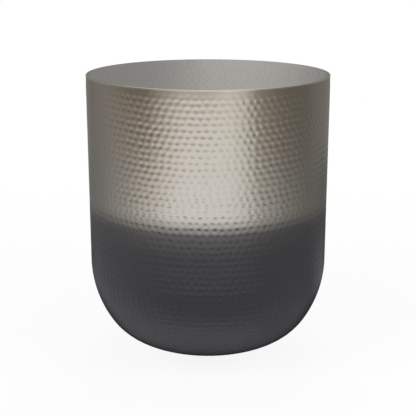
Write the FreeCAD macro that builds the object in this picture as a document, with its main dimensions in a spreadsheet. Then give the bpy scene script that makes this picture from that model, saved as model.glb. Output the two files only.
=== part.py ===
import FreeCAD, Part
import math
import os
import re
import Sketcher

# Drum side table: a hammered sheet drum with a bowl-shaped base on four levelling glides.
# Millimetres, +Z up, origin on the floor under the drum's axis.

doc = FreeCAD.newDocument("DrumSideTable")
sheet = doc.addObject("Spreadsheet::Sheet", "Sizes")

# Driving dimensions, in millimetres unless the name says turn (degrees) or count.
DIMENSIONS = {
    # Drum shell
    "overall_height": 569,
    "drum_radius": 240,
    "sheet_thickness": 2,
    "base_lift": 14,
    "base_flat_radius": 67,
    "bowl_upper_radius": 214,
    "bowl_upper_turn": 33.5,
    "bowl_knuckle_radius": 117,
    "bowl_knuckle_turn": 63,
    "bowl_collar": 45,
    # Pieces welded inside the shell
    "weld_gap": 0.2,
    "band_height": 50,
    "band_thickness": 2,
    "strip_width": 40,
    "strip_thickness": 1.5,
    "strip_end_gap": 12,
    "bearer_width": 20,
    "bearer_drop": 22,
    "bearer_thickness": 3,
    # Top
    "rim_height": 3,
    "rim_width": 3.5,
    "rim_round": 1.4,
    "panel_thickness": 1.5,
    "panel_gap": 0.3,
    "board_thickness": 15,
    "tie_plate_radius": 45,
    "tie_plate_thickness": 5,
    "tie_boss_radius": 11,
    "tie_boss_height": 16,
    "plate_screw_count": 4,
    "plate_screw_pitch_radius": 32,
    "plate_screw_radius": 2.2,
    "plate_screw_bite": 11,
    "plate_screw_head_radius": 4.5,
    "plate_screw_head_height": 2.8,
    # Central tie rod
    "tie_rod_radius": 5,
    "tie_rod_end_gap": 1.5,
    "tie_rod_tail": 1.5,
    "tie_washer_radius": 13,
    "tie_washer_thickness": 2,
    "tie_nut_flats": 17,
    "tie_nut_height": 5,
    "thread_gap": 0.2,
    "hole_gap": 0.5,
    # Base board, ballast and their bolts
    "base_board_thickness": 12,
    "base_board_gap": 4,
    "ballast_thickness": 20,
    "ballast_gap": 8,
    "bolt_count": 4,
    "bolt_pitch_radius": 30,
    "bolt_radius": 4,
    "bolt_head_radius": 8,
    "bolt_head_height": 4.5,
    "bolt_tail": 3,
    "washer_radius": 8,
    "washer_thickness": 1.6,
    "nut_flats": 13,
    "nut_height": 6.5,
    # Levelling glides
    "glide_count": 4,
    "glide_edge": 17,
    "foot_radius": 15,
    "foot_side": 3.5,
    "foot_bevel": 0.8,
    "foot_crown": 1.5,
    "collar_radius": 8,
    "collar_height": 3,
    "socket_depth": 5,
    "pin_radius": 3,
    "pin_gap": 0.1,
    "seat_gap": 0.3,
    "hex_flats": 13,
    "stud_radius": 4,
    "stud_bevel": 0.8,
    "stud_end_gap": 1,
    "insert_radius": 6,
    "insert_flange_radius": 10,
    "insert_flange_thickness": 1.5,
    "insert_end_gap": 0.5,
    "insert_gap": 0.2,
}
for row, (alias, number) in enumerate(DIMENSIONS.items(), start=1):
    sheet.set(f"A{row}", str(number))
    sheet.setAlias(f"A{row}", alias)
doc.recompute()

# Formulas for the sizes and heights that follow from the driving dimensions.
FORMULAS = {}


def formula(words):
    """Write a formula in the sheet's words as an expression of the document."""
    def spell(match):
        word = match.group(0)
        if word in FORMULAS:
            return FORMULAS[word]
        return f"Sizes.{word}" if word in DIMENSIONS else word
    return "(" + re.sub(r"[a-z][a-z_]*", spell, words) + ")"


def value(words):
    """Work out a formula at the present sizes."""
    return float(sheet.evalExpression(formula(words)))


def define(name, words):
    FORMULAS[name] = formula(words)


define("upper_cos", "cos(bowl_upper_turn * 1deg)")
define("upper_sin", "sin(bowl_upper_turn * 1deg)")
define("knuckle_cos", "cos(bowl_knuckle_turn * 1deg)")
define("knuckle_sin", "sin(bowl_knuckle_turn * 1deg)")
define("upper_reach", "bowl_upper_radius * (1 - upper_cos)")
define("knuckle_reach", "bowl_knuckle_radius * (upper_cos - knuckle_cos)")
define("crown_reach", "drum_radius - base_flat_radius - upper_reach - knuckle_reach")
define("crown_radius", "crown_reach / knuckle_cos")
define("crown_rise", "crown_radius * (1 - knuckle_sin)")
define("knuckle_rise", "bowl_knuckle_radius * (knuckle_sin - upper_sin)")
define("upper_rise", "bowl_upper_radius * upper_sin")
define("bowl_spring", "base_lift + crown_rise + knuckle_rise + upper_rise")
define("seam_level", "bowl_spring + bowl_collar")
define("wall_inside", "drum_radius - sheet_thickness")
define("weld_face", "wall_inside - weld_gap")
define("rim_base", "overall_height - rim_height")
define("panel_radius", "drum_radius - rim_width - panel_gap")
define("panel_under", "overall_height - panel_thickness")
define("board_under", "panel_under - board_thickness")
define("bearer_under", "board_under - bearer_thickness - bearer_drop")
define("plate_under", "board_under - tie_plate_thickness")
define("rod_hole", "tie_rod_radius + hole_gap")
define("tie_nut_under", "base_lift - tie_washer_thickness - tie_nut_height")
define("rod_low", "tie_nut_under - tie_rod_tail")
define("floor_over", "base_lift + sheet_thickness")
define("base_board_radius", "base_flat_radius - base_board_gap")
define("base_board_over", "floor_over + base_board_thickness")
define("crown_inside", "crown_radius - sheet_thickness")
define("crown_drop", "crown_inside - base_board_thickness")
define("ballast_radius", "base_flat_radius + sqrt(crown_inside^2 - crown_drop^2) - ballast_gap")
define("ballast_over", "base_board_over + ballast_thickness")
define("bolt_hole", "bolt_radius + hole_gap")
define("bolt_end", "ballast_over + washer_thickness + nut_height + bolt_tail")
define("glide_pitch_radius", "base_flat_radius - glide_edge")
define("foot_top", "foot_side + foot_crown + collar_height")
define("socket_floor", "foot_top - socket_depth")
define("hex_under", "foot_top + seat_gap")
define("hex_height", "base_lift - seat_gap - hex_under")
define("stud_top", "base_board_over - stud_end_gap")
define("stud_hole", "stud_radius + hole_gap")
define("first_glide_turn", "180deg / glide_count")
define("first_glide_x", "glide_pitch_radius * cos(first_glide_turn)")
define("first_glide_y", "glide_pitch_radius * sin(first_glide_turn)")

bodies = []


def new_body(label):
    body = doc.addObject("PartDesign::Body", label)
    body.Label = label
    bodies.append(body)
    return body


def origin_feature(body, role):
    return next(feature for feature in body.Origin.OriginFeatures if feature.Role == role)


def new_sketch(body, plane, level="0"):
    """Sketch on one of the body's own planes, lifted along the plane's normal."""
    sketch = body.newObject("Sketcher::SketchObject", f"{body.Name}_sketch")
    sketch.AttachmentSupport = [(origin_feature(body, plane), "")]
    sketch.MapMode = "FlatFace"
    if level != "0":
        sketch.setExpression("AttachmentOffset.Base.z", formula(level))
    return sketch


def drive(sketch, kind, parts, words):
    """Add a dimension to a sketch and bind it to a formula."""
    index = sketch.addConstraint(Sketcher.Constraint(kind, *parts, value(words)))
    name = f"{kind}_{index}"
    sketch.renameConstraint(index, name)
    sketch.setExpression(f"Constraints.{name}", formula(words))


def pin_point(sketch, edge, vertex, across, up):
    """Fix a point of a sketch by its two distances from the origin."""
    for kind, words, axis in (("DistanceX", across, -2), ("DistanceY", up, -1)):
        if words == "0":
            sketch.addConstraint(Sketcher.Constraint("PointOnObject", edge, vertex, axis))
        else:
            drive(sketch, kind, (-1, 1, edge, vertex), words)


def arc_between(start, end, radius, turns_left):
    """Arc of under half a circle from start to end, bending left or right on the way."""
    chord = end - start
    side = FreeCAD.Vector(-chord.y, chord.x, 0).normalize()
    reach = math.sqrt(radius ** 2 - (chord.Length / 2) ** 2)
    centre = (start + end) / 2 + side * (reach if turns_left else -reach)
    first, last = (start, end) if turns_left else (end, start)
    circle = Part.Circle(centre, FreeCAD.Vector(0, 0, 1), radius)
    angles = [math.atan2(spot.y - centre.y, spot.x - centre.x) for spot in (first, last)]
    return Part.ArcOfCircle(circle, *angles)


def draw_outline(sketch, points, arcs=None):
    """Closed outline through points given as formulas; arcs maps a side to its radius and bend."""
    arcs = arcs or {}
    spots = [FreeCAD.Vector(value(across), value(up), 0) for across, up in points]
    sides = []
    for index, start in enumerate(spots):
        end = spots[(index + 1) % len(spots)]
        if index in arcs:
            radius, turns_left = arcs[index]
            edge = sketch.addGeometry(arc_between(start, end, value(radius), turns_left), False)
            sides.append((edge, 1, 2) if turns_left else (edge, 2, 1))
        else:
            edge = sketch.addGeometry(Part.LineSegment(start, end), False)
            sides.append((edge, 1, 2))
    for index, (edge, first, last) in enumerate(sides):
        next_edge, next_first, next_last = sides[(index + 1) % len(sides)]
        sketch.addConstraint(Sketcher.Constraint("Coincident", edge, last, next_edge, next_first))
        pin_point(sketch, edge, first, *points[index])
    for index, (radius, turns_left) in arcs.items():
        drive(sketch, "Radius", (sides[index][0],), radius)


def draw_circle(sketch, across, up, radius):
    centre = FreeCAD.Vector(value(across), value(up), 0)
    circle = Part.Circle(centre, FreeCAD.Vector(0, 0, 1), value(radius))
    edge = sketch.addGeometry(circle, False)
    pin_point(sketch, edge, 3, across, up)
    drive(sketch, "Radius", (edge,), radius)


def draw_hexagon(sketch, across, flats):
    """Regular hexagon centred on the sketch's own X axis."""
    corner = f"{flats} / sqrt(3)"
    turns = [f"{step * 60 + 30}deg" for step in range(6)]
    corners = [(f"{across} + {corner} * cos({turn})", f"{corner} * sin({turn})") for turn in turns]
    draw_outline(sketch, corners)


def revolve(body, points, arcs=None, plane="XZ_Plane", sweep=None):
    """Turn an outline of radius and height formulas about the vertical axis."""
    sketch = new_sketch(body, plane)
    draw_outline(sketch, points, arcs)
    turned = body.newObject("PartDesign::Revolution", f"{body.Name}_turned")
    turned.Profile = sketch
    turned.ReferenceAxis = (sketch, ["V_Axis"])
    if sweep:
        turned.Midplane = True
        turned.setExpression("Angle", formula(sweep))
    return turned


def pad(body, sketch, length):
    padded = body.newObject("PartDesign::Pad", f"{body.Name}_pad")
    padded.Profile = sketch
    padded.setExpression("Length", formula(length))
    return padded


def pad_circle(body, level, length, radius, across="0", up="0"):
    sketch = new_sketch(body, "XY_Plane", level)
    draw_circle(sketch, across, up, radius)
    return pad(body, sketch, length)


def repeat_round(body, features, count):
    """Repeat features about the vertical axis."""
    pattern = body.newObject("PartDesign::PolarPattern", f"{body.Name}_round")
    pattern.Originals = features
    pattern.Axis = (origin_feature(body, "Z_Axis"), [""])
    pattern.Angle = 360
    pattern.setExpression("Occurrences", formula(count))
    body.Tip = pattern


def drill(body, radius, across="0", up="0", count=None, level="0", depth=None):
    """Drill upwards from a level, right through or to a depth, once or all round."""
    sketch = new_sketch(body, "XY_Plane", level)
    draw_circle(sketch, across, up, radius)
    hole = body.newObject("PartDesign::Pocket", f"{body.Name}_hole")
    hole.Profile = sketch
    hole.Reversed = True
    if depth:
        hole.setExpression("Length", formula(depth))
    else:
        hole.Type = "ThroughAll"
    if count:
        repeat_round(body, [hole], count)


# Drum shell

def make_drum_wall():
    wall = new_body("drum_wall")
    revolve(wall, [("wall_inside", "seam_level"), ("drum_radius", "seam_level"),
                   ("drum_radius", "rim_base"), ("wall_inside", "rim_base")])


def make_bowl():
    """Spun shell: collar, upper arc, knuckle, crown and a flat floor with its holes."""
    bowl = new_body("bowl")
    outside = [
        ("0", "base_lift"),
        ("base_flat_radius", "base_lift"),
        ("base_flat_radius + crown_reach", "base_lift + crown_rise"),
        ("drum_radius - upper_reach", "bowl_spring - upper_rise"),
        ("drum_radius", "bowl_spring"),
        ("drum_radius", "seam_level"),
    ]
    inside = [
        ("wall_inside", "seam_level"),
        ("wall_inside", "bowl_spring"),
        ("drum_radius - upper_reach - sheet_thickness * upper_cos",
         "bowl_spring - upper_rise + sheet_thickness * upper_sin"),
        ("base_flat_radius + crown_reach - sheet_thickness * knuckle_cos",
         "base_lift + crown_rise + sheet_thickness * knuckle_sin"),
        ("base_flat_radius", "floor_over"),
        ("0", "floor_over"),
    ]
    arcs = {
        1: ("crown_radius", True),
        2: ("bowl_knuckle_radius", True),
        3: ("bowl_upper_radius", True),
        7: ("bowl_upper_radius - sheet_thickness", False),
        8: ("bowl_knuckle_radius - sheet_thickness", False),
        9: ("crown_inside", False),
    }
    revolve(bowl, outside + inside, arcs)
    drill(bowl, "rod_hole")
    drill(bowl, "bolt_hole", "bolt_pitch_radius", count="bolt_count")
    drill(bowl, "stud_hole", "first_glide_x", "first_glide_y", count="glide_count")


# Pieces welded inside the shell

def make_joint_band():
    """Band behind the seam between wall and bowl."""
    band = new_body("joint_band")
    low, high = "seam_level - band_height / 2", "seam_level + band_height / 2"
    back = "weld_face - band_thickness"
    revolve(band, [(back, low), ("weld_face", low), ("weld_face", high), (back, high)])


def make_seam_strip():
    """Strip behind the wall's upright seam, at the back."""
    strip = new_body("seam_strip")
    low = "seam_level + band_height / 2 + strip_end_gap"
    high = "bearer_under - strip_end_gap"
    back = "weld_face - strip_thickness"
    revolve(strip, [(back, low), ("weld_face", low), ("weld_face", high), (back, high)],
            plane="YZ_Plane", sweep="strip_width / weld_face * 1rad")


def make_bearer_ring():
    """Rolled angle that carries the top board."""
    bearer = new_body("bearer_ring")
    lip, leg = "weld_face - bearer_width", "weld_face - bearer_thickness"
    lip_under = "board_under - bearer_thickness"
    revolve(bearer, [(leg, "bearer_under"), ("weld_face", "bearer_under"), ("weld_face", "board_under"),
                     (lip, "board_under"), (lip, lip_under), (leg, lip_under)])


# Top

def make_rim_ring():
    """Edge bead on the wall, with its outer shoulder rounded."""
    rim = new_body("rim_ring")
    back = "drum_radius - rim_width"
    revolve(rim, [(back, "rim_base"), ("drum_radius", "rim_base"),
                  ("drum_radius", "overall_height - rim_round"),
                  ("drum_radius - rim_round", "overall_height"), (back, "overall_height")],
            {2: ("rim_round", True)})


def make_top_panel():
    pad_circle(new_body("top_panel"), "panel_under", "panel_thickness", "panel_radius")


def make_top_board():
    board = new_body("top_board")
    pad_circle(board, "board_under", "board_thickness", "panel_radius")
    drill(board, "plate_screw_radius + thread_gap", "plate_screw_pitch_radius", count="plate_screw_count",
          level="board_under", depth="plate_screw_bite + thread_gap")


def make_tie_plate():
    """Flanged nut under the top board that takes the rod's upper end."""
    plate = new_body("tie_plate")
    bore = "tie_rod_radius + thread_gap"
    boss_under = "plate_under - tie_boss_height"
    revolve(plate, [(bore, boss_under), ("tie_boss_radius", boss_under), ("tie_boss_radius", "plate_under"),
                    ("tie_plate_radius", "plate_under"), ("tie_plate_radius", "board_under"),
                    (bore, "board_under")])
    drill(plate, "plate_screw_radius + thread_gap", "plate_screw_pitch_radius", count="plate_screw_count")


def make_tie_plate_screws():
    screws = new_body("tie_plate_screws")
    head = pad_circle(screws, "plate_under - plate_screw_head_height", "plate_screw_head_height",
                      "plate_screw_head_radius", "plate_screw_pitch_radius")
    shank = pad_circle(screws, "plate_under", "tie_plate_thickness + plate_screw_bite",
                       "plate_screw_radius", "plate_screw_pitch_radius")
    repeat_round(screws, [head, shank], "plate_screw_count")


# Central tie rod

def make_tie_rod():
    rod = new_body("tie_rod")
    pad_circle(rod, "rod_low", "board_under - tie_rod_end_gap - rod_low", "tie_rod_radius")


def make_tie_washer():
    washer = new_body("tie_washer")
    pad_circle(washer, "base_lift - tie_washer_thickness", "tie_washer_thickness", "tie_washer_radius")
    drill(washer, "rod_hole")


def make_tie_nut():
    nut = new_body("tie_nut")
    sketch = new_sketch(nut, "XY_Plane", "tie_nut_under")
    draw_hexagon(sketch, "0", "tie_nut_flats")
    draw_circle(sketch, "0", "0", "tie_rod_radius + thread_gap")
    pad(nut, sketch, "tie_nut_height")


# Base board, ballast and their bolts

def make_base_board():
    board = new_body("base_board")
    pad_circle(board, "floor_over", "base_board_thickness", "base_board_radius")
    drill(board, "rod_hole")
    drill(board, "bolt_hole", "bolt_pitch_radius", count="bolt_count")
    drill(board, "insert_radius + insert_gap", "first_glide_x", "first_glide_y", count="glide_count")
    drill(board, "insert_flange_radius + insert_gap", "first_glide_x", "first_glide_y", count="glide_count",
          level="floor_over", depth="insert_flange_thickness")


def make_ballast_disc():
    ballast = new_body("ballast_disc")
    pad_circle(ballast, "base_board_over", "ballast_thickness", "ballast_radius")
    drill(ballast, "rod_hole")
    drill(ballast, "bolt_hole", "bolt_pitch_radius", count="bolt_count")


def make_ballast_bolts():
    bolts = new_body("ballast_bolts")
    head = pad_circle(bolts, "base_lift - bolt_head_height", "bolt_head_height",
                      "bolt_head_radius", "bolt_pitch_radius")
    shank = pad_circle(bolts, "base_lift", "bolt_end - base_lift", "bolt_radius", "bolt_pitch_radius")
    repeat_round(bolts, [head, shank], "bolt_count")


def make_ballast_washers():
    washers = new_body("ballast_washers")
    sketch = new_sketch(washers, "XY_Plane", "ballast_over")
    draw_circle(sketch, "bolt_pitch_radius", "0", "washer_radius")
    draw_circle(sketch, "bolt_pitch_radius", "0", "bolt_hole")
    repeat_round(washers, [pad(washers, sketch, "washer_thickness")], "bolt_count")


def make_ballast_nuts():
    nuts = new_body("ballast_nuts")
    sketch = new_sketch(nuts, "XY_Plane", "ballast_over + washer_thickness")
    draw_hexagon(sketch, "bolt_pitch_radius", "nut_flats")
    draw_circle(sketch, "bolt_pitch_radius", "0", "bolt_radius + thread_gap")
    repeat_round(nuts, [pad(nuts, sketch, "nut_height")], "bolt_count")


# Levelling glides

def make_glide_inserts():
    """Flanged threaded sleeves in the base board, flange down on the bowl's floor."""
    inserts = new_body("glide_inserts")
    features = []
    for level, length, radius in (
            ("floor_over", "insert_flange_thickness", "insert_flange_radius"),
            ("floor_over + insert_flange_thickness",
             "base_board_thickness - insert_flange_thickness - insert_end_gap", "insert_radius")):
        sketch = new_sketch(inserts, "XY_Plane", level)
        draw_circle(sketch, "first_glide_x", "first_glide_y", radius)
        draw_circle(sketch, "first_glide_x", "first_glide_y", "stud_radius + thread_gap")
        features.append(pad(inserts, sketch, length))
    repeat_round(inserts, features, "glide_count")


def stand_at_glide(body, number):
    """Move a body from the axis to its glide's place."""
    turn = f"({number} - 0.5) * 360deg / glide_count"
    body.setExpression("Placement.Base.x", formula(f"glide_pitch_radius * cos({turn})"))
    body.setExpression("Placement.Base.y", formula(f"glide_pitch_radius * sin({turn})"))


def make_glide_foot(number):
    """Round pad with a collar whose socket takes the stud's pin."""
    foot = new_body(f"glide_foot_{number}")
    revolve(foot, [("0", "0"), ("foot_radius - foot_bevel", "0"), ("foot_radius", "foot_bevel"),
                   ("foot_radius", "foot_side"), ("collar_radius", "foot_side + foot_crown"),
                   ("collar_radius", "foot_top"), ("pin_radius + pin_gap", "foot_top"),
                   ("pin_radius + pin_gap", "socket_floor"), ("0", "socket_floor")])
    stand_at_glide(foot, number)


def make_glide_stud(number):
    """Threaded stud with a spanner hexagon and a pin that turns in the foot."""
    stud = new_body(f"glide_stud_{number}")
    revolve(stud, [("0", "socket_floor + seat_gap"), ("pin_radius", "socket_floor + seat_gap"),
                   ("pin_radius", "hex_under"), ("stud_radius", "hex_under"),
                   ("stud_radius", "stud_top - stud_bevel"), ("stud_radius - stud_bevel", "stud_top"),
                   ("0", "stud_top")])
    sketch = new_sketch(stud, "XY_Plane", "hex_under")
    draw_hexagon(sketch, "0", "hex_flats")
    pad(stud, sketch, "hex_height")
    stand_at_glide(stud, number)


make_drum_wall()
make_bowl()
make_joint_band()
make_seam_strip()
make_bearer_ring()
make_rim_ring()
make_top_panel()
make_top_board()
make_tie_plate()
make_tie_plate_screws()
make_tie_rod()
make_tie_washer()
make_tie_nut()
make_base_board()
make_ballast_disc()
make_ballast_bolts()
make_ballast_washers()
make_ballast_nuts()
make_glide_inserts()
for glide in range(1, round(value("glide_count")) + 1):
    make_glide_foot(glide)
    make_glide_stud(glide)
doc.recompute()

# Nothing is written unless every object and every shape is sound.
for thing in doc.Objects:
    if {"Invalid", "Error"} & set(thing.State):
        raise RuntimeError(f"{thing.Label} failed: {thing.State}")
for body in bodies:
    if body.Shape.isNull() or not body.Shape.isValid():
        raise RuntimeError(f"{body.Label} has no sound shape")

os.makedirs("parts", exist_ok=True)
for body in bodies:
    body.Shape.exportStep(f"parts/{body.Label}.step")
    box = body.Shape.BoundBox
    print(f"{body.Label}: {len(body.Shape.Solids)} solid(s), {body.Shape.Volume / 1000:.1f} cm3, "
          f"z {box.ZMin:.2f} to {box.ZMax:.2f}, across {box.XLength:.2f}")
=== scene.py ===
# %% [markdown]
# # A hammered drum side table
# The real table is a sheet-metal drum. A rolled wall is welded to a spun bowl, a hammered disc lies inside
# a thin edge bead at the top, and the metal fades from pale nickel to charcoal lacquer. Four levelling
# glides under the bowl keep the shell off the floor. The CAD frame gives every piece its place, and this
# lesson adds what a CAD model leaves out: the hammer marks, the finishes, the studio and the camera.

import math
import random

import bmesh
import bpy
from mathutils import Matrix, Vector


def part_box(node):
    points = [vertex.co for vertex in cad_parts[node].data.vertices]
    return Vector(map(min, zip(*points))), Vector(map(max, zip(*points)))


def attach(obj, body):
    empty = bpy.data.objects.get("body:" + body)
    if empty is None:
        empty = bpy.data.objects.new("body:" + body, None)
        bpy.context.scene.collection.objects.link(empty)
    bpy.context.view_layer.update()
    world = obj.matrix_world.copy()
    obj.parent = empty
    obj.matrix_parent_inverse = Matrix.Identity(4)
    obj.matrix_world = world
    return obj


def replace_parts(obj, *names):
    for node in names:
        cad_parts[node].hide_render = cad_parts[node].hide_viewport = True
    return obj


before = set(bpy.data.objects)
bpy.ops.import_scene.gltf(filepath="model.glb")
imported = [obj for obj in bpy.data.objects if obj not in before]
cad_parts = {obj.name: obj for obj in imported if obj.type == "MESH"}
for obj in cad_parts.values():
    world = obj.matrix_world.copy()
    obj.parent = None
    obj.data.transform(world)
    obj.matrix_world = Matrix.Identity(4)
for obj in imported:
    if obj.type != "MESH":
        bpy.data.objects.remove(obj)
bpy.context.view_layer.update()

# %% [markdown]
# ## Sizes of the shell
# Most sizes are read from the frame, so that each new mesh lies exactly on the solid that it stands for.
# The bowl's side is three arcs that run into each other: a long upper arc, a tighter knuckle and a crown
# that ends in a small flat floor. Boxes can't tell the radius of an arc, so those radii and turns are
# repeated here in metres and radians.

# %% Sizes from the frame
wall_low, wall_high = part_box("drum_wall")
rim_low, rim_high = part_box("rim_ring")
panel_low, panel_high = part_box("top_panel")
bowl_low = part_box("bowl")[0]

drum_radius = wall_high.x
wall_top = wall_high.z
seam_level = wall_low.z
base_lift = bowl_low.z
table_top = rim_high.z
panel_radius = panel_high.x

sheet_thickness = 0.002
base_flat_radius = 0.067
upper_radius, upper_turn = 0.214, math.radians(33.5)
knuckle_radius, knuckle_turn = 0.117, math.radians(63.0)
crown_turn = math.radians(90.0)

upper_reach = upper_radius * (1 - math.cos(upper_turn))
knuckle_reach = knuckle_radius * (math.cos(upper_turn) - math.cos(knuckle_turn))
crown_reach = drum_radius - base_flat_radius - upper_reach - knuckle_reach
crown_radius = crown_reach / math.cos(knuckle_turn)
print("drum radius", round(drum_radius, 4), "wall", round(seam_level, 4), "to", round(wall_top, 4))
print("crown radius", round(crown_radius, 4), "floor of the bowl at", round(base_lift, 4))

# %% [markdown]
# ## The camera
# A wide view from close by would make the top ellipse deep, and a far one would make it thin. The depth of
# the ellipse and the curve of the bottom edge together fix the distance, and then the tilt and the lens
# follow from where the top and the bottom of the drum lie in the frame.

# %% Camera
camera_distance = 1.914
camera_height = 0.8088
camera_tilt = math.radians(15.09)
sensor_width = 36.0
focal_length = 83.8

camera = bpy.data.objects.new("camera", bpy.data.cameras.new("camera"))
bpy.context.scene.collection.objects.link(camera)
camera.data.sensor_width = sensor_width
camera.data.lens = focal_length
camera.location = (0, -camera_distance, camera_height)
camera.rotation_euler = (math.pi / 2 - camera_tilt, 0, 0)
bpy.context.scene.camera = camera
bpy.context.scene.view_settings.view_transform = "Standard"
print("camera", camera_distance, "m away, tilted down", round(math.degrees(camera_tilt), 2), "degrees")

# %% [markdown]
# ## Shader sums in plain Python
# Nodes can be wired one by one, but long sums then turn into pages of links. This class wraps one output
# socket. Python's own operators add the Math nodes, and the method add makes any other node: its settings
# first, then the numbers or wires of its sockets.

# %% A wire between shader nodes
class Wire:
    """One output of a shader node, which can be used in sums."""

    def __init__(self, tree, socket=None):
        self.tree = tree
        self.socket = socket

    def add(self, kind, settings, sockets, output=0):
        node = self.tree.nodes.new(kind)
        for name, setting in settings.items():
            if name == "stops":
                set_stops(node.color_ramp, setting)
            else:
                setattr(node, name, setting)
        for name, entry in sockets.items():
            if isinstance(entry, Wire):
                self.tree.links.new(entry.socket, node.inputs[name])
            else:
                node.inputs[name].default_value = entry
        return Wire(self.tree, node.outputs[output])

    def sum(self, operation, first, second):
        return self.add("ShaderNodeMath", {"operation": operation}, {0: first, 1: second})

    def __add__(self, other):
        return self.sum("ADD", self, other)

    def __radd__(self, other):
        return self.sum("ADD", other, self)

    def __sub__(self, other):
        return self.sum("SUBTRACT", self, other)

    def __rsub__(self, other):
        return self.sum("SUBTRACT", other, self)

    def __mul__(self, other):
        return self.sum("MULTIPLY", self, other)

    def __rmul__(self, other):
        return self.sum("MULTIPLY", other, self)


def set_stops(ramp, stops):
    """Give a colour ramp its stops, as pairs of place and colour."""
    while len(ramp.elements) < len(stops):
        ramp.elements.new(1.0)
    for element, (place, shade) in zip(ramp.elements, stops):
        element.position = place
        element.color = (*shade, 1)


print("shader sums ready")

# %% [markdown]
# A few shapes of sum come back in every finish: a soft step between two levels, a blend of two colours, a
# cloud of noise, the parts of a point and its distance from a place. Each could be wired afresh where it is
# needed, but as one short function it keeps a finish down to a few readable lines.

# %% Helpers that every finish uses
def step(value, low, high):
    """0 below low, 1 above high and a smooth rise between them; low may be the larger."""
    sockets = {"Value": value, "From Min": low, "From Max": high}
    return value.add("ShaderNodeMapRange", {"interpolation_type": "SMOOTHSTEP"}, sockets)


def blend(share, first, second):
    """The first colour where share is 0, and the second where it is 1."""
    sockets = {0: share, 6: first, 7: second}
    return share.add("ShaderNodeMix", {"data_type": "RGBA"}, sockets, output=2)


def colour(red, green, blue):
    return (red, green, blue, 1)


def cloud(point, scale, detail=3.0, roughness=0.5):
    """Noise from 0 to 1, about 0.5 on average. The scale is in blobs per metre."""
    sockets = {"Vector": point, "Scale": scale, "Detail": detail, "Roughness": roughness}
    return point.add("ShaderNodeTexNoise", {}, sockets)


def split(point, axes):
    """The named axes of a point, such as "xz", as wires."""
    node = point.add("ShaderNodeSeparateXYZ", {}, {"Vector": point}).socket.node
    return [Wire(point.tree, node.outputs[axis]) for axis in axes.upper()]


def distance_from(point, place):
    sockets = {0: point, 1: place}
    return point.add("ShaderNodeVectorMath", {"operation": "DISTANCE"}, sockets, output="Value")


def stretched(point, along):
    """The point with its axes scaled, so that noise becomes streaks."""
    return point.add("ShaderNodeVectorMath", {"operation": "MULTIPLY"}, {0: point, 1: along})


def relief(height, depth):
    """A bump from a height of 0 to 1, with its depth in metres."""
    return height.add("ShaderNodeBump", {}, {"Height": height, "Distance": depth})


print("helpers ready")

# %% [markdown]
# Every finish starts the same way: a material with one Principled shader, and a wire that carries the
# point on the piece in metres. Numbers that are the same all over go straight to the shader's sockets.
# Paint over metal could be one shader with a changing metallic share, but then the halfway tones look like
# neither, so a second shader is laid over the first.

# %% Start and close a finish
def start_finish(name, **numbers):
    """A new material with its numbers set. Returns its wire of Object coordinates too."""
    material = bpy.data.materials.new(name)
    material.use_nodes = True
    shader = material.node_tree.nodes["Principled BSDF"]
    for socket, number in numbers.items():
        shader.inputs[socket.replace("_", " ")].default_value = number
    return material, Wire(material.node_tree).add("ShaderNodeTexCoord", {}, {}, output="Object")


def close_finish(material, **wires):
    """Plug the wires into the Principled shader's sockets, by name."""
    shader = material.node_tree.nodes["Principled BSDF"]
    for socket, wire in wires.items():
        material.node_tree.links.new(wire.socket, shader.inputs[socket.replace("_", " ")])
    print("finish", material.name, "with", len(material.node_tree.nodes), "nodes")
    return material


def show(material, shader):
    """Let a shader's wire be the surface of a material."""
    tree = material.node_tree
    tree.links.new(shader.socket, tree.nodes["Material Output"].inputs["Surface"])
    return material


def coat_over(material, share, **sockets):
    """Lay a second Principled shader over a finished one, where share is 1."""
    named = {name.replace("_", " "): entry for name, entry in sockets.items()}
    over = share.add("ShaderNodeBsdfPrincipled", {}, named)
    under = Wire(share.tree, share.tree.nodes["Principled BSDF"].outputs[0])
    return show(material, share.add("ShaderNodeMixShader", {}, {0: share, 1: under, 2: over}))


print("ready to start and close finishes")

# %% [markdown]
# ## The shell's finish
# Nickel plate covers the whole shell. Charcoal lacquer is sprayed on from below and fades out over a few
# centimetres, with a last trace of nickel that shows through for a little longer. Spray from below lands
# first on what faces down, the upper half of each hammer mark. A plain blend by height would miss that, so
# the mesh carries two attributes: dent, how deep a mark is pressed, and overhang, how far the sheet leans
# over. One finish on wall and bowl keeps the weld between them out of sight.

# %% Nickel that fades to charcoal
fade_level = 0.3200
fade_reach = 0.0215
fade_tail = 0.048
tail_share = 0.11
fade_drop = 0.012
edge_drift = 0.006
pit_hold = 0.003
overhang_hold = 0.090
blue_reach = (0.24, 0.06)
warm_reflection_start = 0.34
pit_shade_share = 0.12
pool_tint = 0.10
grain_depth = 0.000012


def attribute(point, name):
    return point.add("ShaderNodeAttribute", {"attribute_name": name}, {}, output="Fac")


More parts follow.
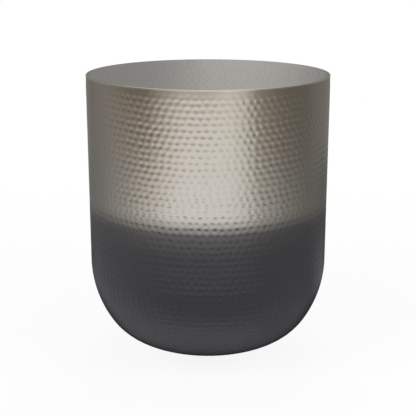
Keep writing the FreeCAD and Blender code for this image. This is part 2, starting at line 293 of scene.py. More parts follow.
def nickel_to_charcoal():
    material, point = start_finish("nickel_to_charcoal", Metallic=1.0)
    x, z = split(point, "xz")
    dent = attribute(point, "dent")
    grain = cloud(point, 420.0, 2.0)
    fine = relief(grain, grain_depth)

    tarnish = cloud(point, 5.0, 4.0, 0.6)
    # Painted reflection: the nickel turns warmer towards the top; the tarnish cloud adds tone at random.
    painted_warmth_and_tarnish = step(z, warm_reflection_start, wall_top) * 0.8 + tarnish * 0.3
    pale = blend(painted_warmth_and_tarnish, colour(0.595, 0.577, 0.545), colour(0.61, 0.56, 0.485))
    # Painted shade: the pits of the marks are darkened in the nickel's colour.
    pit_shaded = blend(dent * pit_shade_share, pale, colour(0.27, 0.24, 0.20))
    close_finish(material, Base_Color=pit_shaded, Roughness=0.17 + tarnish * 0.05, Normal=fine)

    drift = cloud(point, 9.0)
    aside = x * x * (1 / drum_radius ** 2)
    lower_sides = aside * aside * fade_drop
    held = dent * pit_hold + attribute(point, "overhang") * overhang_hold
    level = z + lower_sides + (drift - 0.5) * edge_drift
    fade_end = fade_level - fade_reach
    body = step(level - held, fade_level + fade_reach, fade_end)
    tail = step(level, fade_end + fade_tail / 2, fade_end - fade_tail)
    lacquer = body * (1 - tail_share + tail * tail_share)
    # The lacquer's colour turns bluer towards the bottom.
    bluer_below = blend(step(z, *blue_reach), colour(0.029, 0.0295, 0.033), colour(0.029, 0.0300, 0.039))
    dusty = blend(grain * 0.35 + drift * 0.25, bluer_below, colour(0.0415, 0.042, 0.048))
    pooled = blend(dent * pool_tint, dusty, colour(0.018, 0.019, 0.022))
    gloss = 0.28 + grain * 0.06
    return coat_over(material, lacquer, Base_Color=pooled, Roughness=gloss, Normal=fine)


shell_finish = nickel_to_charcoal()

# %% [markdown]
# The top disc is the same nickel, but it lies flat and is rubbed by every cup and lamp, so it is greyer.
# A thin dark line is painted round the edge of the disc beside the bead: painted shade in that corner.
# The bead itself is polished, paler and warmer than the sheet. One shared material could serve wall, disc
# and bead, but each is worn in its own way.

# %% Top disc and edge bead
edge_shade_width = 0.006
edge_shade_core = 0.002
edge_shade_share = 0.55
mark_shade_share = 0.10


def rubbed_nickel():
    material, point = start_finish("rubbed_nickel", Metallic=1.0)
    dent = attribute(point, "dent")
    rub = cloud(point, 7.0, 5.0, 0.6)
    grain = cloud(point, 500.0, 2.0)
    grey = blend(rub, colour(0.595, 0.570, 0.543), colour(0.535, 0.511, 0.485))
    # Painted shade: the pits of the marks are darkened in the disc's colour.
    struck = blend(dent * mark_shade_share, grey, colour(0.36, 0.345, 0.325))
    out = distance_from(point, (0, 0, panel_high.z))
    # Painted shade: a thin dark line round the disc's edge, in the corner beside the bead.
    edge_shade = step(out, panel_radius - edge_shade_width, panel_radius - edge_shade_core)
    base = blend(edge_shade * edge_shade_share, struck, colour(0.24, 0.23, 0.215))
    fine = relief(grain, grain_depth)
    return close_finish(material, Base_Color=base, Roughness=0.09 + rub * 0.05, Normal=fine)


def bright_bead():
    material, point = start_finish("bright_bead", Metallic=1.0)
    wear = cloud(point, 60.0, 4.0, 0.6)
    base = blend(wear, colour(0.82, 0.77, 0.66), colour(0.70, 0.655, 0.55))
    return close_finish(material, Base_Color=base, Roughness=0.22 + wear * 0.10)


top_finish = rubbed_nickel()
bead_finish = bright_bead()

# %% [markdown]
# ## Drawing an outline for the lathe
# A drum is a turned shape, so each shell begins as an outline in the upright plane through the axis. One
# operator draws all of it: spin moves the last vertex along, either straight, with a step and no turn, or
# round a centre. A second spin sweeps the outline through one sector, and a third repeats the sector round
# the axis. One spin all the way round gives the same shell, but each of its steps searches the whole mesh,
# which takes most of a minute.

# %% Outline and lathe
around = 600
sectors = 12
merge_distance = 1e-5


def last_vertex(made):
    return next(item for item in made["geom_last"] if isinstance(item, bmesh.types.BMVert))


def run_to(outline, pen, radius, height, steps=1):
    """Draw straight from the pen to a radius and height. Returns the new pen."""
    stride = (Vector((radius, 0, height)) - pen.co) / steps
    return last_vertex(bmesh.ops.spin(outline, geom=[pen], cent=(0, 0, 0), axis=(0, 1, 0),
                                      dvec=stride, angle=0, steps=steps))


def turn_about(outline, pen, centre, angle, steps):
    """Draw an arc about a centre; a positive angle goes from the side towards the floor."""
    return last_vertex(bmesh.ops.spin(outline, geom=[pen], cent=centre, axis=(0, 1, 0),
                                      angle=angle, steps=steps))


def close_outline(outline, pen, start):
    outline.edges.new((pen, start))


def lathe(outline, segments=around):
    """Sweep the outline about the axis, join the sectors and point the faces outwards."""
    sector = 2 * math.pi / sectors
    axis = {"cent": (0, 0, 0), "axis": (0, 0, 1)}
    bmesh.ops.spin(outline, geom=outline.verts[:] + outline.edges[:], angle=sector,
                   steps=segments // sectors, **axis)
    bmesh.ops.spin(outline, geom=outline.verts[:] + outline.edges[:] + outline.faces[:],
                   angle=2 * math.pi - sector, steps=sectors - 1, use_duplicate=True, **axis)
    bmesh.ops.remove_doubles(outline, verts=outline.verts[:], dist=merge_distance)
    bmesh.ops.recalc_face_normals(outline, faces=outline.faces[:])


print("lathe with", around, "steps round the axis")

# %% [markdown]
# A finished bmesh becomes an object that rides on the drum's body and stands for its CAD node. Faces are
# shaded smooth, and edges that turn by more than crisp_angle stay crisp. Bevels could soften those edges,
# but the edge of a sheet is only about a pixel wide here.

# %% From outline to piece
crisp_angle = math.radians(40)


def make_object(name, shape, finish):
    """An object from a bmesh, which is used up."""
    mesh = bpy.data.meshes.new(name)
    shape.to_mesh(mesh)
    shape.free()
    mesh.materials.append(finish)
    made = bpy.data.objects.new(name, mesh)
    bpy.context.scene.collection.objects.link(made)
    return made


def make_piece(name, shape, finish, node):
    """A smooth piece of the drum and in place of a CAD node."""
    piece = make_object(name, shape, finish)
    piece.data.shade_smooth()
    piece.data.set_sharp_from_angle(angle=crisp_angle)
    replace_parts(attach(piece, "drum"), node)
    piece.data.calc_loop_triangles()
    print(name, "has", len(piece.data.loop_triangles), "triangles")


print("pieces stay crisp past", round(math.degrees(crisp_angle)), "degrees")

# %% [markdown]
# ## Hammer marks
# A smith strikes row after row, about half a step over each time, so the marks pack like bricks. Noise
# would give dents without rows, and a bump map would leave the outline straight. Here each mark is a shallow
# round cup with its own small drift and force, kept in a list of rows, and the mesh is pressed in by the
# deepest cup that reaches each vertex. The round face of the hammer leaves soft edges and a little plain
# sheet between the cups.

# %% Rows of hammer marks
mark_pitch = 0.0137
row_pitch = 0.0116
mark_radius = 0.0060
drift_across = 0.0013
drift_down = 0.0010
row_slip = 0.22
fewest_marks = 6
least_row_force = 0.66
least_mark_force = 0.62
hammer = random.Random(11)


def strike_rows(runs_and_radii):
    """A row of marks for each pair of run down the side and radius there."""
    rows = []
    for number, (run, radius) in enumerate(runs_and_radii):
        count = max(fewest_marks, round(2 * math.pi * radius / mark_pitch))
        shift = number % 2 / 2 + hammer.uniform(-row_slip, row_slip)
        row_force = hammer.uniform(least_row_force, 1.0)
        marks = [(hammer.uniform(-drift_across, drift_across), hammer.uniform(-drift_down, drift_down),
                  row_force * hammer.uniform(least_mark_force, 1.0)) for _ in range(count)]
        rows.append((run, shift, marks))
    return rows


def mark_depth(rows, angle, run, radius):
    """How deep the marks press a point, from 0 on a ridge to 1 in the deepest pit."""
    deepest = 0.0
    near = round((run - rows[0][0]) / row_pitch)
    for number in range(max(0, near - 1), min(len(rows), near + 2)):
        row_run, shift, marks = rows[number]
        place = angle / (2 * math.pi) * len(marks) - shift
        spacing = 2 * math.pi * radius / len(marks)
        for index in range(math.floor(place), math.floor(place) + 2):
            across, down, force = marks[index % len(marks)]
            aside = (place - index) * spacing - across
            below = run - row_run - down
            cup = max(0.0, 1 - (aside * aside + below * below) / mark_radius ** 2)
            deepest = max(deepest, cup * cup * force)
    return deepest


print("marks", mark_pitch * 1000, "mm apart in rows", row_pitch * 1000, "mm apart")

# %% [markdown]
# Each outline notes two things at its outer vertices: how far down the side they lie, the run, and which
# way is inwards there. Both could be worked out again from the swept mesh, but the lathe carries such layers
# round by itself. Vertices of the inner side keep a run below zero and are left alone. Pressing only goes
# inwards, so the drum never grows past its CAD size.

# %% Notes on an outline
inner_run = -1.0


def start_outline():
    """A new bmesh with the layers that the marks need."""
    outline = bmesh.new()
    outline.verts.layers.float.new("run")
    outline.verts.layers.float_vector.new("inward")
    return outline


def note_side(outline, side, first_run):
    """Note run and inward way along the outer side, a list of vertices with the inside on its right."""
    run_layer = outline.verts.layers.float["run"]
    inward_layer = outline.verts.layers.float_vector["inward"]
    for vertex in outline.verts:
        vertex[run_layer] = inner_run
    run = first_run
    for above, vertex, below in zip(side[:1] + side, side, side[1:] + side[-1:]):
        run += (vertex.co - above.co).length
        way = (below.co - above.co).normalized()
        vertex[run_layer] = run
        vertex[inward_layer] = (way.z, 0, -way.x)
    return run


print("outlines can note runs; inner sides get a run of", inner_run)

# %% [markdown]
# The rows aren't quite level: the sheet was turned on an anvil by hand, and they hang lower at the front
# and the back than at the sides. After pressing, the lean of each vertex is noted for the lacquer's fade, up
# to what a mark can reach, because the cut edges of a sheet lean far more. A shader could read the lean from
# the normal, but the attribute can be capped.

# %% Press the marks into a shell
row_sag = 0.016
sag_end = 0.330
steepest = 0.25


def ease(value, low, high):
    share = min(1.0, max(0.0, (value - low) / (high - low)))
    return share * share * (3 - 2 * share)


def hung_run(run, angle):
    """The run along the hanging rows, for a point at a run and an angle."""
    return run + row_sag * math.cos(angle) ** 2 * max(0.0, 1 - run / sag_end)


def press_marks(shape, rows, depth, strength, run_along):
    """Press rows of marks into the vertices that have a run; strength is a function of the run."""
    run_layer = shape.verts.layers.float["run"]
    inward_layer = shape.verts.layers.float_vector["inward"]
    dent_layer = shape.verts.layers.float.new("dent")
    overhang_layer = shape.verts.layers.float.new("overhang")
    struck = [vertex for vertex in shape.verts if vertex[run_layer] >= 0]
    for vertex in struck:
        run = vertex[run_layer]
        angle = math.atan2(vertex.co.y, vertex.co.x)
        radius = math.hypot(vertex.co.x, vertex.co.y)
        dent = mark_depth(rows, angle, run_along(run, angle), radius) * strength(run)
        inward = vertex[inward_layer]
        aside = inward.x * depth * dent
        vertex.co += Vector((aside * math.cos(angle), aside * math.sin(angle), inward.z * depth * dent))
        vertex[dent_layer] = dent
    shape.normal_update()
    for vertex in struck:
        vertex[overhang_layer] = max(-steepest, min(steepest, -vertex.normal.z))


print("rows hang", row_sag * 1000, "mm lower at the front and the back")

# %% [markdown]
# ## The wall
# The wall is a rolled sheet. It leans in a little over the last centimetres under the bead, which leaves a
# thin step there, and the first marks start just below. A straight taper would leave a crease, so the lean
# is an arc. The outer side needs a vertex about every two millimetres to hold the marks; the inner side
# needs only two.

# %% Hammered wall
lean_height = 0.022
lean_turn = math.radians(2.8)
lean_steps = 11
plain_band = 0.002
band_fade = 0.016
first_row = 0.0097
mark_depth_wall = 0.00078
wall_steps = 136


def side_strength(run):
    """No marks in the plain band, full marks below it."""
    return ease(run, plain_band, plain_band + band_fade)


wall = start_outline()
lean_radius = lean_height / math.sin(lean_turn)
lean_centre = Vector((drum_radius - lean_radius, 0, wall_top - lean_height))
top_edge = wall.verts.new((lean_centre.x + lean_radius * math.cos(lean_turn), 0, wall_top))
pen = turn_about(wall, top_edge, lean_centre, lean_turn, lean_steps)
pen = run_to(wall, pen, drum_radius, seam_level, wall_steps)
wall_side = list(wall.verts)
pen = run_to(wall, pen, drum_radius - sheet_thickness, seam_level)
pen = run_to(wall, pen, drum_radius - sheet_thickness, wall_top)
close_outline(wall, pen, top_edge)
wall_run = note_side(wall, wall_side, 0.0)
lathe(wall)
print("wall side", round(wall_run, 4), "m long, swept to", len(wall.verts), "vertices;",
      "open edges left:", sum(edge.is_boundary for edge in wall.edges))

# %% [markdown]
# ## The bowl
# The bowl is spun from one sheet over a former. It carries on where the wall stops: a short straight collar,
# then the three arcs. Half a flattened sphere would be quicker, but its side would be too full. The outline
# goes up the outside, over the lip and down the inside about the same centres, so the sheet has one
# thickness.

# %% Outline of the bowl
def on_arc(centre, radius, turn):
    """A point on an arc, a turn below the horizontal."""
    return centre + Vector((radius * math.cos(turn), 0, -radius * math.sin(turn)))


crown_centre = Vector((base_flat_radius, 0, base_lift + crown_radius))
crown_end = on_arc(crown_centre, crown_radius, knuckle_turn)
knuckle_centre = on_arc(crown_end, -knuckle_radius, knuckle_turn)
knuckle_end = on_arc(knuckle_centre, knuckle_radius, upper_turn)
upper_centre = on_arc(knuckle_end, -upper_radius, upper_turn)
bowl_spring = upper_centre.z
bowl_step = 0.0024
inner_steps = 6


def arc_steps(radius, turn):
    return math.ceil(radius * turn / bowl_step)


bowl = start_outline()
floor_edge = bowl.verts.new((base_flat_radius, 0, base_lift))
sides = [(crown_centre, crown_radius, crown_turn - knuckle_turn),
         (knuckle_centre, knuckle_radius, knuckle_turn - upper_turn),
         (upper_centre, upper_radius, upper_turn)]
pen = floor_edge
for centre, radius, turn in sides:
    pen = turn_about(bowl, pen, centre, -turn, arc_steps(radius, turn))
pen = run_to(bowl, pen, drum_radius, seam_level, math.ceil((seam_level - bowl_spring) / bowl_step))
print("bowl springs at", round(bowl_spring, 4), "and its outer side has", len(bowl.verts), "points")

# %% [markdown]
# The inside follows the same arcs, a sheet's thickness further in. A Solidify modifier could add it, but one
# outline gives the lip and both sides in one sweep. The inside needs few points, because nobody sees it. The
# runs and radii of the outer side are kept for the rows of marks.

# %% Inside of the bowl and its sweep
bowl_side = list(bowl.verts)[::-1]
pen = run_to(bowl, pen, drum_radius - sheet_thickness, seam_level)
pen = run_to(bowl, pen, drum_radius - sheet_thickness, bowl_spring)
for centre, radius, turn in reversed(sides):
    pen = turn_about(bowl, pen, centre, turn, inner_steps)
side_length = note_side(bowl, bowl_side, wall_run)
run_layer = bowl.verts.layers.float["run"]
bowl_runs = [(vertex[run_layer], vertex.co.x) for vertex in bowl_side]
lathe(bowl)
print("side is", round(side_length, 4), "m long; bowl swept to", len(bowl.verts), "vertices")

# %% [markdown]
# The floor of the bowl has nine holes, for the tie rod, the ballast bolts and the glide studs. A boolean
# could drill them through the swept mesh, but filling is cleaner: the round edge of the floor and the
# hole circles are filled in one go, above and below, and each pair of circles is bridged.

# %% Floor of the bowl
hole_gap = 0.0005
hole_segments = 32
glide_count = 4
level_tolerance = 1e-6
bolt_circle = 0.030
screw_radius = 0.004


def node_centre(node):
    low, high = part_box(node)
    return (low + high) / 2


rod_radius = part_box("tie_rod")[1].x
holes = [(0.0, 0.0, rod_radius + hole_gap)]
for glide in range(1, glide_count + 1):
    spot = node_centre(f"glide_stud_{glide}")
    holes.append((spot.x, spot.y, screw_radius + hole_gap))
    turn = 2 * math.pi / glide_count * glide
    holes.append((bolt_circle * math.cos(turn), bolt_circle * math.sin(turn), screw_radius + hole_gap))


def open_edges(shape, height):
    """Edges with one face or none, at a height."""
    return [edge for edge in shape.edges if len(edge.link_faces) < 2
            and all(abs(vertex.co.z - height) < level_tolerance for vertex in edge.verts)]


def hole_circle(shape, x, y, radius, height):
    made = bmesh.ops.create_circle(shape, segments=hole_segments, radius=radius,
                                   matrix=Matrix.Translation((x, y, height)))
    for vertex in made["verts"]:
        vertex[shape.verts.layers.float["run"]] = inner_run
    return list({edge for vertex in made["verts"] for edge in vertex.link_edges})


floor_levels = (base_lift, base_lift + sheet_thickness)
for x, y, radius in holes:
    circles = [hole_circle(bowl, x, y, radius, level) for level in floor_levels]
    bmesh.ops.bridge_loops(bowl, edges=circles[0] + circles[1])
for level in floor_levels:
    bmesh.ops.triangle_fill(bowl, edges=open_edges(bowl, level), use_beauty=True)
bmesh.ops.recalc_face_normals(bowl, faces=bowl.faces[:])
print("floor with", len(holes), "holes; open edges left:", sum(edge.is_boundary for edge in bowl.edges))

# %% [markdown]
# Wall and bowl are struck with the same rows, counted down from the rim, so the marks run on across the
# weld. Two sets of rows would be simpler, but they would meet in a visible line. Lower rows are shorter, so
# they hold fewer marks. Round the bowl's turn the marks are deeper, and towards its floor they run out.

# %% Strike both shells
plain_foot = 0.020
bowl_gain = 0.45
gain_reach = 0.10
foot_loss = 0.75
loss_start = 0.16
mark_end = side_length - plain_foot
row_count = int((mark_end - first_row) / row_pitch) + 1


def radius_at(run):
    """Radius of the side at a run, from the bowl's own outline."""
    if run <= wall_run:
        return drum_radius
    return next(radius for reach, radius in bowl_runs if reach >= run)


def strike_strength(run):
    """Full marks on the wall, deeper ones round the bowl's turn and none on its floor."""
    gain = bowl_gain * ease(run, wall_run, wall_run + gain_reach)
    loss = foot_loss * ease(run, wall_run + loss_start, side_length)
    return side_strength(run) * (1 + gain - loss) * (1 - ease(run, mark_end, side_length))


side_rows = strike_rows([(first_row + row_pitch * number, radius_at(first_row + row_pitch * number))
                         for number in range(row_count)])
press_marks(wall, side_rows, mark_depth_wall, strike_strength, hung_run)
press_marks(bowl, side_rows, mark_depth_wall, strike_strength, hung_run)
make_piece("hammered_wall", wall, shell_finish, "drum_wall")
make_piece("hammered_bowl", bowl, shell_finish, "bowl")
print(row_count, "rows from", len(side_rows[0][2]), "marks to", len(side_rows[-1][2]))

# %% [markdown]
# ## The top disc and the edge bead
# The disc is struck in rings, and lighter, so that a cup stands level on it. It is the same lathe with a
# flat outline, whose run goes out from the middle. A grid would spread its vertices more evenly, but rings
# of marks fit rings of vertices.

# %% Hammered top disc
disc_margin = 0.008
mark_depth_top = 0.0006
disc_steps = 94
disc_segments = 480

disc = start_outline()
disc_centre = disc.verts.new((0, 0, panel_high.z))
pen = run_to(disc, disc_centre, panel_radius, panel_high.z, disc_steps)
disc_side = list(disc.verts)
pen = run_to(disc, pen, panel_radius, panel_low.z)
pen = run_to(disc, pen, 0, panel_low.z)
note_side(disc, disc_side, 0.0)
lathe(disc, disc_segments)
ring_count = int((panel_radius - disc_margin) / row_pitch)


def disc_strength(run):
    """Full marks in the middle, none at the edge."""
    return ease(panel_radius - run, 0.0, disc_margin)


def level_run(run, angle):
    return run


ring_rows = strike_rows([(row_pitch * number, row_pitch * number) for number in range(1, ring_count + 1)])
press_marks(disc, ring_rows, mark_depth_top, disc_strength, level_run)
make_piece("hammered_top", disc, top_finish, "top_panel")

# %% [markdown]
# The bead is a small square rod with its outer top edge rounded off, spun as one ring. A bevel on a square
# ring would give the same round, but in an outline it is one arc.

# %% Edge bead
rim_width = 0.0035
rim_round = 0.0014
round_steps = 5

bead = bmesh.new()
bead_start = bead.verts.new((rim_high.x - rim_width, 0, rim_low.z))
pen = run_to(bead, bead_start, rim_high.x, rim_low.z)
pen = run_to(bead, pen, rim_high.x, table_top - rim_round)
pen = turn_about(bead, pen, (rim_high.x - rim_round, 0, table_top - rim_round), -math.pi / 2, round_steps)
pen = run_to(bead, pen, rim_high.x - rim_width, table_top)
close_outline(bead, pen, bead_start)
lathe(bead)
make_piece("edge_bead", bead, bead_finish, "rim_ring")

# %% [markdown]
# ## Finishes of the hidden works
# Inside are mill-finish bands, pressed boards, zinc-plated fasteners and a cast ballast disc; below are the
# moulded glide feet. Their CAD shapes are right as they are, so each only gets a finish of its own. Pictures
# of the stuff would need unwrapped meshes; one coarse and one fine cloud of noise need only the point.

# %% Finishes for the CAD nodes
roll_depth = 0.00003
chip_depth = 0.0002
scuff_depth = 0.00002
sand_depth = 0.00035
leather_depth = 0.00006


def mill_finish():
    material, point = start_finish("mill_finish", Metallic=1.0)
    streak = cloud(stretched(point, (40, 40, 900)), 1.0, 4.0, 0.6)
    smear = cloud(point, 20.0)
    base = blend(streak * 0.6 + smear * 0.4, colour(0.66, 0.67, 0.68), colour(0.50, 0.51, 0.53))
    rolled = relief(streak, roll_depth)
    return close_finish(material, Base_Color=base, Roughness=0.34 + streak * 0.16, Normal=rolled)


def pressed_board():
    material, point = start_finish("pressed_board")
    chip = cloud(stretched(point, (160, 90, 420)), 1.0, 5.0, 0.65)
    patch = cloud(point, 26.0)
    base = blend(chip * 0.7 + patch * 0.3, colour(0.30, 0.19, 0.10), colour(0.52, 0.37, 0.22))
    pressed = relief(chip, chip_depth)
    return close_finish(material, Base_Color=base, Roughness=0.68 + chip * 0.2, Normal=pressed)


def zinc_plate():
    material, point = start_finish("zinc_plate", Metallic=1.0)
    bloom = cloud(point, 130.0, 4.0, 0.65)
    scuff = cloud(stretched(point, (900, 900, 120)), 1.0, 3.0)
    base = blend(bloom, colour(0.62, 0.63, 0.64), colour(0.50, 0.50, 0.46))
    scratched = relief(scuff, scuff_depth)
    return close_finish(material, Base_Color=base, Roughness=0.26 + bloom * 0.2, Normal=scratched)


def cast_iron():
    material, point = start_finish("cast_iron", Metallic=0.4)
    sand = cloud(point, 650.0, 4.0, 0.7)
    rust = step(cloud(point, 34.0, 5.0, 0.65), 0.55, 0.75)
    base = blend(rust * 0.5, colour(0.050, 0.050, 0.053), colour(0.12, 0.055, 0.025))
    cast = relief(sand, sand_depth)
    return close_finish(material, Base_Color=base, Roughness=0.62 + sand * 0.25, Normal=cast)


def moulded_foot():
    material, point = start_finish("moulded_foot")
    leather = cloud(point, 1400.0, 3.0, 0.6)
    dust = cloud(point, 90.0)
    base = blend(dust * 0.5, colour(0.020, 0.020, 0.021), colour(0.050, 0.049, 0.047))
    moulded = relief(leather, leather_depth)
    return close_finish(material, Base_Color=base, Roughness=0.48 + dust * 0.2, Normal=moulded)


print("recipes for five finishes ready")

# %% [markdown]
# The table below says which node gets which finish. The replaced nodes are in it too, so that they look
# right wherever the plain CAD shape is shown. Each node could get a material of its own, but pieces from the
# same stock share one. It goes into the node's own slots, and the mesh is left alone.

# %% Dress the CAD nodes
bands = mill_finish()
boards = pressed_board()
fasteners = zinc_plate()
ballast = cast_iron()
feet = moulded_foot()
finish_of_node = {
    "joint_band": bands, "seam_strip": bands, "bearer_ring": bands,
    "top_board": boards, "base_board": boards, "ballast_disc": ballast,
    "tie_plate": fasteners, "tie_plate_screws": fasteners, "tie_rod": fasteners, "tie_washer": fasteners,
    "tie_nut": fasteners, "ballast_bolts": fasteners, "ballast_washers": fasteners,
    "ballast_nuts": fasteners, "glide_inserts": fasteners,
    "drum_wall": shell_finish, "bowl": shell_finish, "top_panel": top_finish, "rim_ring": bead_finish,
}
for glide in range(1, glide_count + 1):
    finish_of_node[f"glide_foot_{glide}"] = feet
    finish_of_node[f"glide_stud_{glide}"] = fasteners
for node, finish in finish_of_node.items():
    for material_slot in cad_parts[node].material_slots:
        material_slot.material = finish
print("dressed", len(finish_of_node), "of", len(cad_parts), "nodes")

# %% [markdown]
# ## The studio
# The floor is pale and shows as almost white to the camera, but keeps a share of its own light so that the
# drum's shadow stays. More lamps could make it white as well, but they would bleach the drum. Reflections
# see the same floor, darker where the drum keeps the light off: under the bowl, behind it and on the right.

# %% Finish of the floor
floor_white = 0.90
white_reach = (0.5, 1.6)
floor_pale = colour(0.9, 0.9, 0.9)
shadow_reach = (0.11, 0.235)
shadow_spot = (0, 0.25, 0)
shadow_edge = (0.33, 0.43)
shadow_front = (-0.10, -0.30)
shadow_grey = 0.78
side_grey = 0.40
right_reach = (0.05, 0.22)
right_dim = 0.35


def start_scenery(name):
    """A new material with no shader yet. Returns its wire of Object coordinates too."""
    material = bpy.data.materials.new(name)
    material.use_nodes = True
    tree = material.node_tree
    tree.nodes.remove(tree.nodes["Principled BSDF"])
    return material, Wire(tree).add("ShaderNodeTexCoord", {}, {}, output="Object")


def light_paths(tree):
    """Three wires: 1 for rays from the camera, for rays off gloss and for rays through glass."""
    path = Wire(tree).add("ShaderNodeLightPath", {}, {}).socket.node
    kinds = ("Is Camera Ray", "Is Glossy Ray", "Is Transmission Ray")
    return [Wire(tree, path.outputs[kind]) for kind in kinds]


def white_floor():
    material, point = start_scenery("white_floor")
    x, y = split(point, "xy")
    away = distance_from(point, (0, 0, 0))
    seen, glossed, through = light_paths(point.tree)
    fade = floor_white + step(away, *white_reach) * (1 - floor_white)
    share = (seen + through) * fade + glossed
    ahead = side_grey + step(y, *shadow_front) * (shadow_grey - side_grey)
    clear = step(distance_from(point, shadow_spot), *shadow_edge) * step(away, *shadow_reach)
    lit = ahead * clear * (1 - step(x, *right_reach) * right_dim)
    glow_colour = blend(glossed * (1 - lit), colour(1, 1, 1), colour(0, 0, 0))
    matt = point.add("ShaderNodeBsdfDiffuse", {}, {"Color": floor_pale})
    glow = point.add("ShaderNodeEmission", {}, {"Color": glow_colour})
    return show(material, point.add("ShaderNodeMixShader", {}, {0: share, 1: matt, 2: glow}))


floor_finish = white_floor()
print("floor finish with", len(floor_finish.node_tree.nodes), "nodes")

# %% [markdown]
# A round floor is enough, because its edge is as white as the world behind it. A plane would do as well, but
# its corners could come into a low view.

# %% Floor
floor_size = 3.0
floor_segments = 96

floor_shape = bmesh.new()
bmesh.ops.create_circle(floor_shape, cap_ends=True, segments=floor_segments, radius=floor_size)
make_object("floor", floor_shape, floor_finish)
print("floor", floor_size, "m in radius")

# %% [markdown]
# Metal shows what stands round it, so polished things are photographed inside a cove: a floor that sweeps
# up into a wall. Big lamps could be set up instead, but then each of them shows as a hard patch. This cove
# is only seen by reflections. Its light changes with the bearing, bright at the front, warm grey on the left
# and darker on the right, in three rings: the wall, the floor and the floor near the foot. At the front it
# gets darker above the horizon, less so on the right, which gives each hammer mark its dark dash. The drum's
# shade on the floor in front of it and the shadow behind its foot keep the lower edge of the bowl dark. A
# ceiling with a round opening makes the marks of the top disc show from above.

# %% Light of the cove
cove_light = [
    (0.00, (0.475, 0.465, 0.45)), (0.008, (0.37, 0.36, 0.348)), (0.016, (0.305, 0.298, 0.285)),
    (0.03, (0.285, 0.278, 0.266)), (0.12, (0.20, 0.197, 0.192)),
    (0.20, (0.28, 0.27, 0.262)), (0.25, (0.33, 0.305, 0.28)), (0.348, (0.36, 0.313, 0.264)),
    (0.418, (0.88, 0.86, 0.815)), (0.45, (1.04, 1.04, 1.03)), (0.545, (1.03, 1.04, 1.02)),
    (0.588, (0.81, 0.82, 0.78)), (0.622, (0.36, 0.335, 0.285)), (0.70, (0.20, 0.185, 0.168)),
    (0.77, (0.170, 0.165, 0.156)), (0.82, (0.215, 0.21, 0.202)),
    (0.88, (0.215, 0.213, 0.208)), (0.965, (0.26, 0.25, 0.235)), (0.978, (0.43, 0.42, 0.405)),
    (0.99, (0.50, 0.49, 0.475)), (1.00, (0.475, 0.465, 0.45)),
]
floor_light = [
    (0.00, (0.40, 0.40, 0.39)), (0.10, (0.175, 0.175, 0.17)), (0.20, (0.25, 0.248, 0.24)),
    (0.29, (0.43, 0.415, 0.40)), (0.36, (0.79, 0.76, 0.72)), (0.42, (1.03, 1.01, 1.00)),
    (0.47, (1.03, 1.01, 1.00)), (0.54, (0.98, 0.96, 0.945)), (0.585, (0.86, 0.85, 0.83)),
    (0.63, (0.54, 0.525, 0.50)), (0.70, (0.285, 0.275, 0.265)), (0.78, (0.18, 0.175, 0.16)),
    (0.82, (0.17, 0.167, 0.158)), (0.86, (0.14, 0.138, 0.132)), (0.92, (0.14, 0.138, 0.133)),
    (1.00, (0.40, 0.40, 0.39)),
]
foot_light = [
    (0.00, (0.24, 0.24, 0.25)), (0.125, (0.10, 0.102, 0.11)), (0.162, (0.275, 0.28, 0.30)),
    (0.215, (0.34, 0.345, 0.365)), (0.29, (0.42, 0.43, 0.46)), (0.36, (0.54, 0.55, 0.59)),
    (0.50, (0.66, 0.67, 0.72)), (0.60, (0.54, 0.55, 0.59)), (0.66, (0.35, 0.36, 0.385)),
    (0.74, (0.23, 0.234, 0.255)), (0.773, (0.13, 0.133, 0.145)), (0.80, (0.26, 0.265, 0.285)),
    (0.84, (0.36, 0.365, 0.39)), (0.878, (0.13, 0.132, 0.142)), (1.00, (0.24, 0.24, 0.25)),
]
print("bearings with a light of their own:", len(cove_light), len(floor_light), len(foot_light))

# %% [markdown]
# The three rings run into each other by their distance from the drum, and the shades are laid over them.
# One picture of a studio could give all of it, but ramps by bearing can be tuned one stop at a time, against
# test renders, and need no file.

# %% Finish of the cove
cove_radius = 3.0
cove_height = 2.2
roof_bend = 0.4
roof_reach = (3.7, 2.75)
roof_edge = colour(0.40, 0.395, 0.385)
roof_middle = colour(0.86, 0.855, 0.845)
horizon_dim = 0.46
horizon_rise = (-0.03, 0.28)
right_haze = 0.60
haze_reach = (-0.3, 1.2)
front_shade = 0.70
shade_reach = (1.12, 0.72)
shade_turn = (-0.15, -0.55)
foot_reach = (1.05, 0.80)
floor_reach = (2.35, 1.65)


def ring_light(bearing, stops):
    return bearing.add("ShaderNodeValToRGB", {"stops": stops}, {"Fac": bearing})


def lit_cove():
    material, point = start_scenery("lit_cove")
    x, y, z = split(point, "xyz")
    away = distance_from(point, (0, 0, 0))
    bearing = x.sum("ARCTAN2", x, 0 - y) * (0.5 / math.pi) + 0.5
    high = ring_light(bearing, cove_light)
    low = ring_light(bearing, floor_light)
    near = ring_light(bearing, foot_light)
    outer = blend(step(away, *floor_reach), high, low)
    lit = blend(step(away, *foot_reach), outer, near)
    haze = right_haze * step(x, *haze_reach)
    ahead = step(y, cove_radius / 2, -cove_radius / 2) * (1 - haze)
    above = step(z, *horizon_rise)
    below = step(y, *shade_turn) * step(away, *shade_reach)
    behind = 1 - step(distance_from(point, shadow_spot), *shadow_edge)
    shade = ahead * above * horizon_dim + below * front_shade + behind
    shaded = blend(shade, lit, colour(0, 0, 0))
    overhead = step(z, cove_height, cove_height + roof_bend)
    roof = blend(step(away, *roof_reach), roof_edge, roof_middle)
    material.cycles.emission_sampling = "NONE"
    return show(material, point.add("ShaderNodeEmission", {}, {"Color": blend(overhead, shaded, roof)}))


cove_finish = lit_cove()
print("cove finish with", len(cove_finish.node_tree.nodes), "nodes")

# %% [markdown]
# The cove's shape is one more outline for the lathe: floor, bend, wall, bend and ceiling. A dome would be
# simpler, but then the floor would rise too soon. Only gloss sees it, so it hides nothing from the camera,
# casts no shadow and adds no light.

# %% Shape of the cove
cove_start = 0.3
cove_lift = 0.003
cove_bend = 0.3
roof_opening = 0.9
cove_segments = 96
bend_steps = 8

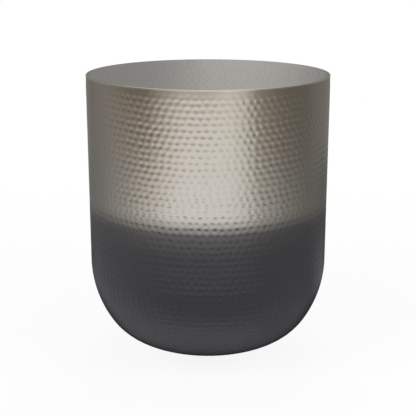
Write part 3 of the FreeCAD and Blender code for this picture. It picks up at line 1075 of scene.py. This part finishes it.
cove_shape = bmesh.new()
pen = cove_shape.verts.new((cove_start, 0, cove_lift))
pen = run_to(cove_shape, pen, cove_radius - cove_bend, cove_lift)
bend_centre = (cove_radius - cove_bend, 0, cove_lift + cove_bend)
pen = turn_about(cove_shape, pen, bend_centre, -math.pi / 2, bend_steps)
pen = run_to(cove_shape, pen, cove_radius, cove_height)
pen = turn_about(cove_shape, pen, (cove_radius - roof_bend, 0, cove_height), -math.pi / 2, bend_steps)
run_to(cove_shape, pen, roof_opening, cove_height + roof_bend)
lathe(cove_shape, cove_segments)
cove = make_object("cove", cove_shape, cove_finish)
cove.visible_camera = False
cove.visible_diffuse = False
cove.visible_shadow = False
cove.visible_transmission = False
print("cove", cove_radius, "m in radius and", cove_height, "m high")

# %% [markdown]
# Three soft lamps light what isn't metal: a key from the left, a fill from the right and one behind. They
# are hidden from reflections, because the cove is there for those. A stronger world alone would light
# everything evenly and leave no shadow. The world is white to the eye and in mirrors, and dimmer as a lamp.

# %% Lamps and world
lamp_plan = {
    "key_lamp": ((-2.1, -1.5, 2.0), 1.8, 44.0),
    "fill_lamp": ((2.1, -1.2, 1.7), 1.6, 30.0),
    "back_lamp": ((0.4, 2.2, 2.4), 1.8, 26.0),
}
lamp_aim = Vector((0, 0, 0.3))
ambient = 0.42

for name, (place, size, watts) in lamp_plan.items():
    lamp = bpy.data.objects.new(name, bpy.data.lights.new(name, "AREA"))
    lamp.data.shape = "DISK"
    lamp.data.size = size
    lamp.data.energy = watts
    lamp.location = place
    lamp.rotation_euler = (lamp_aim - lamp.location).to_track_quat("-Z", "Y").to_euler()
    lamp.visible_glossy = False
    bpy.context.scene.collection.objects.link(lamp)

world = bpy.data.worlds.new("studio")
world.use_nodes = True
bpy.context.scene.world = world
sky = world.node_tree.nodes["Background"]
seen, glossed, through = light_paths(world.node_tree)
brightness = ambient + (seen + glossed + through) * (1 - ambient)
sky.inputs["Color"].default_value = colour(1, 1, 1)
world.node_tree.links.new(brightness.socket, sky.inputs["Strength"])
print(len(lamp_plan), "lamps and a white world")
